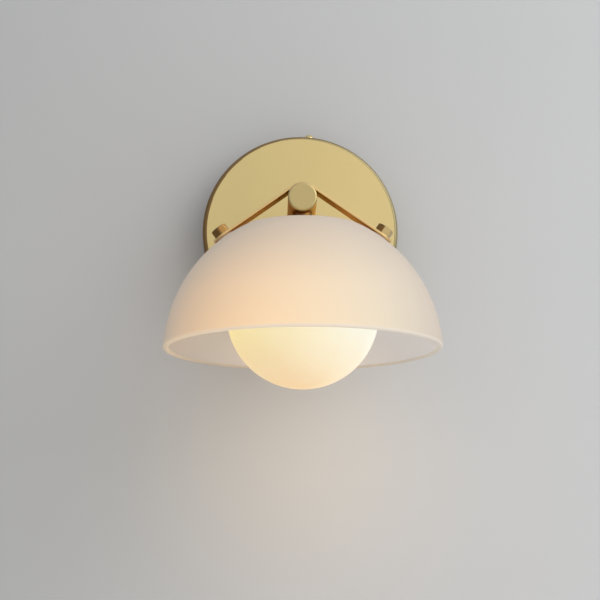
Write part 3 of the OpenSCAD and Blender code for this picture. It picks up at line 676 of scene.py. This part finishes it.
class SCONCE_OT_canopy(bpy.types.Operator):
    """Turn the canopy and brush it"""

    bl_idname = "sconce.canopy"
    bl_label = "Canopy"

    def execute(self, context):
        sizes, finishes = settings_of(context)
        radius, depth = sizes.canopy_radius, sizes.canopy_depth
        edge, sheet = sizes.canopy_edge, sizes.canopy_wall
        lip, band = 0.25 * MM, 0.6 * MM
        flat = radius - edge
        face_rows, band_rows, around = 37, 3, 256
        profile = np.vstack([
            line((NIPPLE_HOLE, depth), (flat - band, depth), face_rows),
            line((flat - band, depth), (flat, depth), band_rows),
            arc((flat, depth - edge), edge, 0, math.pi / 2, 16)[:-1],
            line((radius, depth - edge), (radius, lip), 10),
            arc((radius - lip, lip), lip, math.pi / 2, math.pi, 5)[:-1],
            line((radius - lip, 0), (radius - sheet, 0), 2),
            line((radius - sheet, 0), (radius - sheet, depth - edge), 10),
            arc((flat, depth - edge), edge - sheet, math.pi / 2, 0, 10)[:-1],
            line((flat, depth - sheet), (NIPPLE_HOLE, depth - sheet), 20),
            line((NIPPLE_HOLE, depth - sheet), (NIPPLE_HOLE, depth), 2)])
        points, faces = turned(profile, around, out_of_wall, True)
        piece = new_piece("canopy_shell", points, faces, "fixture", "canopy")

        def edge_of_canopy(row, column):
            """Face, bend and a dark edge of painted shade.

            The edge's first row lies before the bend at the left and well into it at the right.
            """
            bend_row = row - face_rows - band_rows
            turn = (column + 0.5) / around * 2 * math.pi
            mean_row, swing, latest = 1.8, 4.7, math.radians(15)
            # Painted shade: the dark edge starts early at the left and late at the right.
            dark = bend_row >= mean_row + swing * np.cos(turn - latest)
            return np.select([dark, bend_row < 1], [2, 0], 1)

        finish_faces(piece, around, edge_of_canopy, [
            # Painted light: the face lightens toward the right.
            satin_brass("canopy_brass_painted_light", (0.10, 1.0, 3.0), rgba(finishes.brass, 0.945), streak=0.10,
                        right=finishes.brass_painted_light_right, reach=40),
            # Painted shade: the bend darkens toward the right.
            satin_brass("canopy_bend_painted_shade_brass", (0.3, 3.0, 0.3), finishes.brass,
                        right=finishes.brass_bend_painted_shade_right),
            # Painted shade on the rolled edge.
            satin_brass("canopy_edge_painted_shade_brass", (0.3, 3.0, 0.3), finishes.painted_dark_edge, rough=0.5,
                        right=finishes.painted_dark_edge_right)])
        return {"FINISHED"}


class SCONCE_OT_arm(bpy.types.Operator):
    """Turn the arm, its end cap and its collar"""

    bl_idname = "sconce.arm"
    bl_label = "Arm"

    def execute(self, context):
        sizes, finishes = settings_of(context)
        bore = sizes.arm_radius - sizes.arm_wall
        self.turn_tube(sizes, finishes, bore)
        self.turn_cap(sizes, finishes, bore - FIT)
        self.cut_collar(sizes, finishes)
        return {"FINISHED"}

    def turn_tube(self, sizes, finishes, bore):
        """A plain tube with square ends."""
        radius = sizes.arm_radius
        back, front = -tube_high.y, -tube_low.y
        profile = np.vstack([
            line((radius, back), (radius, front), 60), line((radius, front), (bore, front), 2),
            line((bore, front), (bore, back), 12), line((bore, back), (radius, back), 2)])
        points, faces = turned(profile, 128, out_of_wall, True)
        piece = new_piece("arm_shell", points, faces, "fixture", "arm_tube")
        # Painted shade on the arm's underside.
        paint(piece, satin_brass(
            "arm_brass_painted_shade", (2.6, 0.08, 2.6), finishes.brass, right=finishes.brass, reach=9,
            under=(finishes.arm_painted_shade, finishes.arm_painted_shade_right), tint=ARM_TINT))

    def turn_cap(self, sizes, finishes, plug_radius):
        """A disc with a rounded edge and a plug that fits the tube."""
        radius, edge = sizes.arm_radius, sizes.arm_edge
        tip, plug, front = -cap_low.y, -cap_high.y, -tube_low.y
        centre = radius * 0.1
        profile = np.vstack([
            [[0, tip]], line((centre, tip), (radius - edge, tip), 12),
            arc((radius - edge, tip - edge), edge, 0, math.pi / 2, 12),
            line((radius, tip - edge), (radius, front), 4)[1:],
            line((radius, front), (plug_radius, front), 2),
            line((plug_radius, front), (plug_radius, plug), 6),
            line((plug_radius, plug), (centre, plug), 4), [[0, plug]]])
        points, faces = turned(profile, 128, out_of_wall, False)
        piece = new_piece("arm_cap", points, faces, "fixture", "arm_end_cap")
        paint(piece, satin_brass("arm_cap_brass", (3.0, 1.0, 0.25), rgba(finishes.brass, 0.76), rough=0.42))

    def cut_collar(self, sizes, finishes):
        """A ring whose walls rise from a flat foot to the arm's underside."""
        low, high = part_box("saddle_collar")
        a = np.linspace(0, 2 * np.pi, 96, endpoint=False)

        def saddle(radius):
            """Ring on the arm's underside: z is minus the root of the arm's radius squared less x squared."""
            x = radius * np.cos(a)
            return np.stack([x, radius * np.sin(a), -np.sqrt((sizes.arm_radius + FIT) ** 2 - x ** 2)], -1)

        def flat(radius):
            """Ring at the collar's foot."""
            return np.stack([radius * np.cos(a), radius * np.sin(a), np.full_like(a, low.z)], -1)

        def wall(radius, shares):
            """Rings between the foot and the saddle, by shares of the way up."""
            return [flat(radius) * (1 - t) + saddle(radius) * t for t in shares]

        rings = np.array(
            wall((high.x - low.x) / 2, np.linspace(0, 1, 8)) + wall(NIPPLE_HOLE, np.linspace(1, 0, 8)))
        piece = new_piece(
            "arm_collar", on_shade_axis(rings.reshape(-1, 3)), grid_faces(len(rings), len(a), True, True),
            "fixture", "saddle_collar")
        # Painted shade: the collar is coloured dark for the arm's shadow over it.
        paint(piece, satin_brass("collar_painted_shade_brass", (0.2, 0.2, 2.6), finishes.collar, rough=0.5,
                                 right=finishes.collar_painted_shade_right, reach=8, coat=0.0, tint=ARM_TINT))


def seat_of(sizes):
    """Where a strap arm's seal lies on the dome: the flank's centre plus its radius, square to the slope."""
    sine, cosine = math.sin(sizes.strap_slope), math.cos(sizes.strap_slope)
    gap = (sizes.arm_radius + FIT) * math.cos(BEND_BLEND) - LAP - sizes.seal_thickness
    flank_x = -sizes.flank_inset
    flank_z = (gap - sizes.flank_radius - flank_x * sine) / cosine
    return flank_x + sizes.flank_radius * sine, flank_z + sizes.flank_radius * cosine


def strap_run(sizes):
    """Length of a strap arm from the bend to the screw: the seat's distance along the slope."""
    x, z = seat_of(sizes)
    return x * math.cos(sizes.strap_slope) - z * math.sin(sizes.strap_slope)


def at_seat(sizes, side):
    """Moves points from a seat's own frame, +Z out of the dome, to the side's seat."""
    x, z = seat_of(sizes)
    turn = np.array(Matrix.Rotation(side * sizes.strap_slope, 3, "Y"))
    shift = np.array([side * x, AXIS_Y, z])
    return lambda points: points @ turn.T + shift


class SCONCE_OT_strap(bpy.types.Operator):
    """Fold the strap over the arm"""

    bl_idname = "sconce.strap"
    bl_label = "Strap"

    def execute(self, context):
        sizes, finishes = settings_of(context)
        rings = self.rings_of_strap(sizes)
        points, faces = loft(rings, (rings[0].mean(0), rings[-1].mean(0)))
        piece = new_piece(
            "folded_strap", on_shade_axis(points), faces, "fixture", "shade_strap", sharp=35)
        top_column, under_column = 3, 11
        finish_faces(
            piece, rings.shape[1],
            lambda row, column: np.select([column == top_column, column == under_column], [1, 2], 0), [
                # Painted reflection of the dome's warm light on the cut edges.
                satin_brass("strap_cut_painted_reflection_brass", (0.5, 0.5, 0.5), finishes.brass_cut_painted_reflection),
                satin_brass("strap_brass", (0.5, 3.0, 0.5), finishes.brass),
                # Painted shade on the strap's underside.
                satin_brass("strap_under_painted_shade_brass", (0.5, 3.0, 0.5), finishes.strap_painted_shade,
                            right=finishes.strap_painted_shade_right, reach=30, near=finishes.strap_painted_shade_middle,
                            coat=0.0, tint=STRAP_TINT)])
        return {"FINISHED"}

    def rings_of_strap(self, sizes):
        """Rounded oblong sections set square to a path.

        The path is an arc about the arm with a straight arm at each end. Past the screws the sections narrow
        as a half circle: half width = root of end radius squared less the distance past the screw squared.
        """
        slope, thickness, end_radius = sizes.strap_slope, sizes.strap_thickness, sizes.strap_width / 2
        fold = sizes.arm_radius + FIT + thickness / 2
        foot = strap_run(sizes)
        round_end = foot + end_radius * np.sin(np.linspace(0, np.pi / 2, 22))
        along = np.concatenate([np.linspace(0, foot, 24, endpoint=False), round_end])[1:]
        tangent = np.array([math.cos(slope), -math.sin(slope)])
        normal = np.array([math.sin(slope), math.cos(slope)])
        right = normal * fold + along[:, None] * tangent
        left = right[::-1] * np.array([-1, 1])
        bend = np.linspace(-slope, slope, 33)
        path = np.vstack([left, arc((0, 0), fold, -slope, slope, len(bend)), right])
        steer = np.concatenate([np.full(len(left), -slope), bend, np.full(len(right), slope)])
        past_screw = np.clip(along - foot, 0, None)
        narrowing = np.sqrt(np.clip(end_radius ** 2 - past_screw ** 2, 0, None))
        half = np.concatenate([narrowing[::-1], np.full(len(bend), end_radius), narrowing])
        half = np.maximum(half, 0.02 * MM)
        edge = 0.28 * MM
        a = np.linspace(0, np.pi / 2, 4)
        corner = np.stack([np.cos(a), np.sin(a)], -1)
        quarters = [(1, 1, corner), (-1, 1, corner[::-1]), (-1, -1, corner), (1, -1, corner[::-1])]
        section = np.vstack([quarter * [sx, sy] for sx, sy, quarter in quarters])
        anchor = np.vstack([np.tile([sx, sy], (len(a), 1)) for sx, sy, _ in quarters])
        soft = np.minimum(edge, half)
        inner = np.stack([half - soft, np.full_like(half, thickness / 2 - edge)], -1)
        spread = np.stack([soft, np.full_like(soft, edge)], -1)
        place = anchor[None] * inner[:, None] + section[None] * spread[:, None]
        out = np.stack([np.sin(steer), np.cos(steer)], -1)
        across, lift = place[..., 0], place[..., 1]
        x = path[:, None, 0] + lift * out[:, None, 0]
        z = path[:, None, 1] + lift * out[:, None, 1]
        return np.stack([x, across, z], -1)


class SCONCE_OT_cap_nuts(bpy.types.Operator):
    """Shape the two hexagon cap nuts"""

    bl_idname = "sconce.cap_nuts"
    bl_label = "Cap nuts"

    def execute(self, context):
        sizes, finishes = settings_of(context)
        # Painted shade in the nuts' dark brass, painted light in its lit copy.
        brass = satin_brass("nut_painted_shade_brass", (1.2, 1.2, 1.2), finishes.nut_painted_shade, rough=0.22)
        painted_light_brass = satin_brass("nut_painted_light_brass", (1.2, 1.2, 1.2), finishes.nut_painted_light, rough=0.22)
        height, roof = sizes.nut_height, sizes.nut_height - 1.2 * MM
        points, faces = loft(self.rings_of_nut(sizes, roof), ([0, 0, roof], [0, 0, height]))
        spin = np.array(Matrix.Rotation(sizes.nut_turn, 3, "Z"))
        above_strap = 0.1 * MM
        lift = sizes.seal_thickness + sizes.strap_thickness + above_strap
        for side, body, node in ((-1, "left_nut", "left_cap_nut"), (1, "right_nut", "right_cap_nut")):
            placed = at_seat(sizes, side)(points @ spin.T + [0, 0, lift])
            piece = new_piece(node + "_shape", placed, faces, body, node, sharp=25)
            paint(piece, brass)
            # Painted light: the right nut's faces that look right take the lit brass.
            if side == 1:
                piece.data.materials.append(painted_light_brass)
                lit = [int(face.normal.x > 0.1) for face in piece.data.polygons]
                piece.data.polygons.foreach_set("material_index", lit)
        return {"FINISHED"}

    def rings_of_nut(self, sizes, roof):
        """Rings from the blind hole's roof down, out at the foot, up the hexagon and in over its top.

        The hexagon's radius is half the flats over the cosine of the angle from a flat's middle. A soft
        minimum rounds its cut corners: minus s times the log of exp(-flat / s) + exp(-cut corner / s). What
        that takes from the flats is given back. A chamfer's cone limits the radius near the top.
        """
        height, half_flats = sizes.nut_height, sizes.nut_width / 2
        bore, soft, chamfer = 2.05 * MM, 0.35 * MM, 0.5 * MM
        corner_cut, given_back, cone_slope = 0.15 * MM, 0.1 * MM, 1.9
        a = np.linspace(0, 2 * np.pi, 180, endpoint=False)
        sector = (a % (np.pi / 3)) - np.pi / 6
        corner = half_flats / math.cos(math.pi / 6)
        flat = half_flats / np.cos(sector)
        cut = np.exp(-(corner - corner_cut) / soft)
        hexagon = np.minimum(-soft * np.log(np.exp(-flat / soft) + cut) + given_back, flat)
        heights = np.concatenate([
            [0], np.linspace(0.15 * MM, height - chamfer, 8), np.linspace(height - 0.45 * MM, height, 8)])
        cone = corner - 0.12 * MM - np.clip(heights - (height - chamfer), 0, None) * cone_slope
        cone[0] = corner - 0.25 * MM
        radii = np.minimum(hexagon, cone[:, None])
        level = np.broadcast_to(heights[:, None], radii.shape)
        outside = np.stack([radii * np.cos(a), radii * np.sin(a), level], -1)
        top = [outside[-1] * [share, share, 1] for share in (0.8, 0.4)]
        foot = np.stack([bore * np.cos(a), bore * np.sin(a), 0 * a], -1)
        return np.stack([foot + [0, 0, roof], foot, *outside, *top])


class SCONCE_OT_shade(bpy.types.Operator):
    """Blow the frosted dome"""

    bl_idname = "sconce.shade"
    bl_label = "Shade"

    def execute(self, context):
        sizes, finishes = settings_of(context)
        outside, rim, inside = self.profile_of_dome(sizes)
        around = 288
        points, faces = turned(np.vstack([outside, rim, inside]), around, on_shade_axis, True)
        piece = new_piece("frosted_dome", points, faces, "fixture", "shade_glass", sharp=50)
        rim_start, rim_end = len(outside), len(outside) + len(rim)

        def side_of_glass(row, column):
            """Outside, rim and inside of the glass."""
            return np.select([row < rim_start, row < rim_end], [0, 1], 2)

        glows = finishes.opal_glow_left, finishes.opal_glow_right
        rim_glows = finishes.opal_glow_rim, finishes.opal_glow_rim_right
        inner_glows = BLACK, finishes.opal_glow_inside
        through = finishes.opal_through
        finish_faces(piece, around, side_of_glass, [
            frosted_opal("frosted_opal", finishes.opal, through, glows, square_glow, finishes.opal_rest),
            # The rim's darker colour is painted shade.
            frosted_opal("frosted_opal_rim", finishes.opal_rim_painted_shade, through, rim_glows, front_glow),
            # Painted shade in the inner face's lower colour, painted light in its glow on the right.
            frosted_opal("frosted_opal_inside", finishes.opal_inside, through, inner_glows, even_glow)])
        return {"FINISHED"}

    def profile_of_dome(self, sizes):
        """Outside, rim and inside: a flat crown, a shoulder arc, a flank arc and a half round rim."""
        flank, shoulder, wall = sizes.flank_radius, sizes.shoulder_radius, sizes.dome_wall
        crown, low = shade_high.z, shade_low.z
        hole = 5.6 * MM
        flank_x = -sizes.flank_inset
        flank_z = seat_of(sizes)[1] - flank * math.cos(sizes.strap_slope)
        shoulder_z = crown - shoulder
        shoulder_x = flank_x + math.sqrt((flank - shoulder) ** 2 - (shoulder_z - flank_z) ** 2)
        join = math.atan2(shoulder_x - flank_x, shoulder_z - flank_z)
        middle, half = flank - wall / 2, wall / 2
        end = math.acos((low + half - flank_z) / middle)
        rim_centre = (flank_x + middle * math.sin(end), flank_z + middle * math.cos(end))
        outside = np.vstack([
            line((hole, crown), (shoulder_x, crown), 14),
            arc((shoulder_x, shoulder_z), shoulder, 0, join, 14)[:-1],
            arc((flank_x, flank_z), flank, join, end, 90)[:-1]])
        rim = arc(rim_centre, half, end, end + math.pi, 18)[:-1]
        inside = np.vstack([
            arc((flank_x, flank_z), flank - wall, end, join, 80)[:-1],
            arc((shoulder_x, shoulder_z), shoulder - wall, join, 0, 12)[:-1],
            line((shoulder_x, crown - wall), (hole, crown - wall), 12),
            line((hole, crown - wall), (hole, crown), 3)])
        return outside, rim, inside


class SCONCE_OT_globe(bpy.types.Operator):
    """Blow the lit globe"""

    bl_idname = "sconce.globe"
    bl_label = "Globe"

    def execute(self, context):
        sizes, finishes = settings_of(context)
        radius, wall = sizes.globe_radius, sizes.globe_wall
        centre, top = globe_low.z + radius, globe_high.z
        inner_neck, fillet, around = 15.45 * MM, 2.0 * MM, 160
        outer_neck = inner_neck + wall
        reach = outer_neck + fillet
        fillet_z = centre + math.sqrt((radius + fillet) ** 2 - reach ** 2)
        meet = math.atan2(reach, fillet_z - centre)
        start = math.asin(inner_neck / (radius - wall))
        outer = np.vstack([
            line((inner_neck, top), (outer_neck, top), 3),
            line((outer_neck, top), (outer_neck, fillet_z), 4),
            arc((reach, fillet_z), fillet, -math.pi / 2, -(math.pi - meet), 8),
            arc((0, centre), radius, meet, math.pi, 96)[1:-1]])
        inner = np.vstack([
            arc((0, centre), radius - wall, math.pi, start, 80)[1:],
            line((inner_neck, centre + (radius - wall) * math.cos(start)), (inner_neck, top), 4)[1:]])
        outside, outer_faces = loft(turn_rings(outer, around), (None, [0, 0, centre - radius]))
        inside, inner_faces = loft(turn_rings(inner, around), ([0, 0, centre - radius + wall], None))
        inner_faces = [[i + len(outside) for i in face] for face in inner_faces]
        here = np.arange(around)
        after = (here + 1) % around
        last = len(outside) + (len(inner) - 1) * around
        bridge = np.stack([last + here, last + after, after, here], -1).tolist()
        points = on_shade_axis(np.vstack([outside, inside]))
        faces = outer_faces + inner_faces + bridge
        piece = new_piece("lit_globe", points, faces, "globe", "globe_glass", sharp=50)
        paint(piece, lit_opal(
            "lit_opal", finishes.glow_left, finishes.glow_right, finishes.glow_foot, radius, centre - radius))
        return {"FINISHED"}


class SCONCE_OT_small_parts(bpy.types.Operator):
    """Give every other node its finish"""

    bl_idname = "sconce.small_parts"
    bl_label = "Small parts"

    def execute(self, context):
        _, finishes = settings_of(context)
        glassy = {"grain": 0.2, "depth": 0.01 * MM, "tone": 0.02}
        small_parts = (
            (satin_brass("turned_brass", (1.5, 1.5, 1.5), finishes.brass, rough=0.28),
             ["top_side_screw", "bottom_side_screw", "arm_bush"]),
            (plain_finish("zinc_plate", (0.62, 0.63, 0.65), 0.36, metal=1.0, grain=0.6),
             ["mounting_crossbar", "arm_nipple", "arm_lock_washer", "arm_hex_nut", "left_shade_screw",
              "right_shade_screw", "shade_screw_washers", "crown_washer", "drop_nipple", "holder_screws"]),
            (plain_finish("green_plate", (0.05, 0.26, 0.09), 0.34, metal=0.6, grain=0.6), ["ground_screw"]),
            (plain_finish("tinned_copper", (0.72, 0.44, 0.28), 0.30, metal=1.0, grain=0.6),
             ["ground_terminals", "holder_contacts"]),
            (plain_finish("black_rubber", (0.028, 0.028, 0.030), 0.72, grain=0.9, depth=0.05 * MM),
             ["upper_crown_seal", "lower_crown_seal", "globe_seal"]),
            (plain_finish("clear_rubber", (0.66, 0.58, 0.50), 0.45, grain=0.9, depth=0.04 * MM),
             ["inner_shade_seals", "outer_shade_seals"]),
            (plain_finish("porcelain", (0.84, 0.83, 0.78), 0.12, **glassy, Coat_Weight=0.5),
             ["holder_block", "lamp_base"]),
            (plain_finish("holder_resin", (0.80, 0.79, 0.75), 0.30), ["holder_sleeve"]),
            (plain_finish("nylon", (0.80, 0.80, 0.76), 0.42, grain=0.5), ["nipple_bushing"]),
            (plain_finish("green_sleeve", (0.03, 0.30, 0.07), 0.42, grain=0.3), ["ground_lead"]),
            (plain_finish("black_sleeve", (0.02, 0.02, 0.02), 0.42, grain=0.3), ["live_lead"]),
            (plain_finish("white_sleeve", (0.78, 0.78, 0.75), 0.42, grain=0.3), ["neutral_lead"]),
            (plain_finish("orange_shell", (0.72, 0.20, 0.03), 0.46, grain=0.8), ["wire_connectors"]),
            (plain_finish("phosphor", (0.95, 0.66, 0.16), 0.60, grain=0.9,
                          Emission_Color=(1.0, 0.72, 0.36, 1.0), Emission_Strength=1.2), ["lamp_core"]),
            (plain_finish("clear_cover", (0.96, 0.96, 0.95), 0.08, **glassy,
                          Transmission_Weight=0.92, IOR=1.45), ["lamp_envelope"]),
            (plain_finish("nickel", (0.74, 0.72, 0.68), 0.20, metal=1.0, grain=0.5), ["lamp_pins"]),
        )
        for material, names in small_parts:
            for name in names:
                paint(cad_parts[name], material)
        return {"FINISHED"}


class SCONCE_PT_panel(bpy.types.Panel):
    """Lists the steps that build the sconce"""

    bl_label = "Wall sconce"
    bl_idname = "SCONCE_PT_panel"
    bl_space_type = "VIEW_3D"
    bl_region_type = "UI"
    bl_category = "Sconce"

    def draw(self, context):
        for step in STEPS:
            self.layout.operator(step.bl_idname)
        for group in (context.scene.sconce_sizes, context.scene.sconce_finishes, context.scene.sconce_stage):
            box = self.layout.box()
            for key in group.bl_rna.properties.keys():
                if key not in ("rna_type", "name"):
                    box.prop(group, key)


STEPS = (SCONCE_OT_camera, SCONCE_OT_stage, SCONCE_OT_canopy, SCONCE_OT_arm, SCONCE_OT_strap,
         SCONCE_OT_cap_nuts, SCONCE_OT_shade, SCONCE_OT_globe, SCONCE_OT_small_parts)
GROUPS = (SconceSizes, SconceFinishes, SconceStage)


def register():
    for cls in GROUPS + STEPS + (SCONCE_PT_panel,):
        bpy.utils.register_class(cls)
    bpy.types.Scene.sconce_sizes = bpy.props.PointerProperty(type=SconceSizes)
    bpy.types.Scene.sconce_finishes = bpy.props.PointerProperty(type=SconceFinishes)
    bpy.types.Scene.sconce_stage = bpy.props.PointerProperty(type=SconceStage)


def unregister():
    del bpy.types.Scene.sconce_sizes, bpy.types.Scene.sconce_finishes, bpy.types.Scene.sconce_stage
    for cls in reversed(GROUPS + STEPS + (SCONCE_PT_panel,)):
        bpy.utils.unregister_class(cls)


def main():
    register()
    bpy.ops.sconce.camera()
    bpy.ops.sconce.stage()
    bpy.ops.sconce.canopy()
    bpy.ops.sconce.arm()
    bpy.ops.sconce.strap()
    bpy.ops.sconce.cap_nuts()
    bpy.ops.sconce.shade()
    bpy.ops.sconce.globe()
    bpy.ops.sconce.small_parts()


if __name__ == "__main__":
    main()
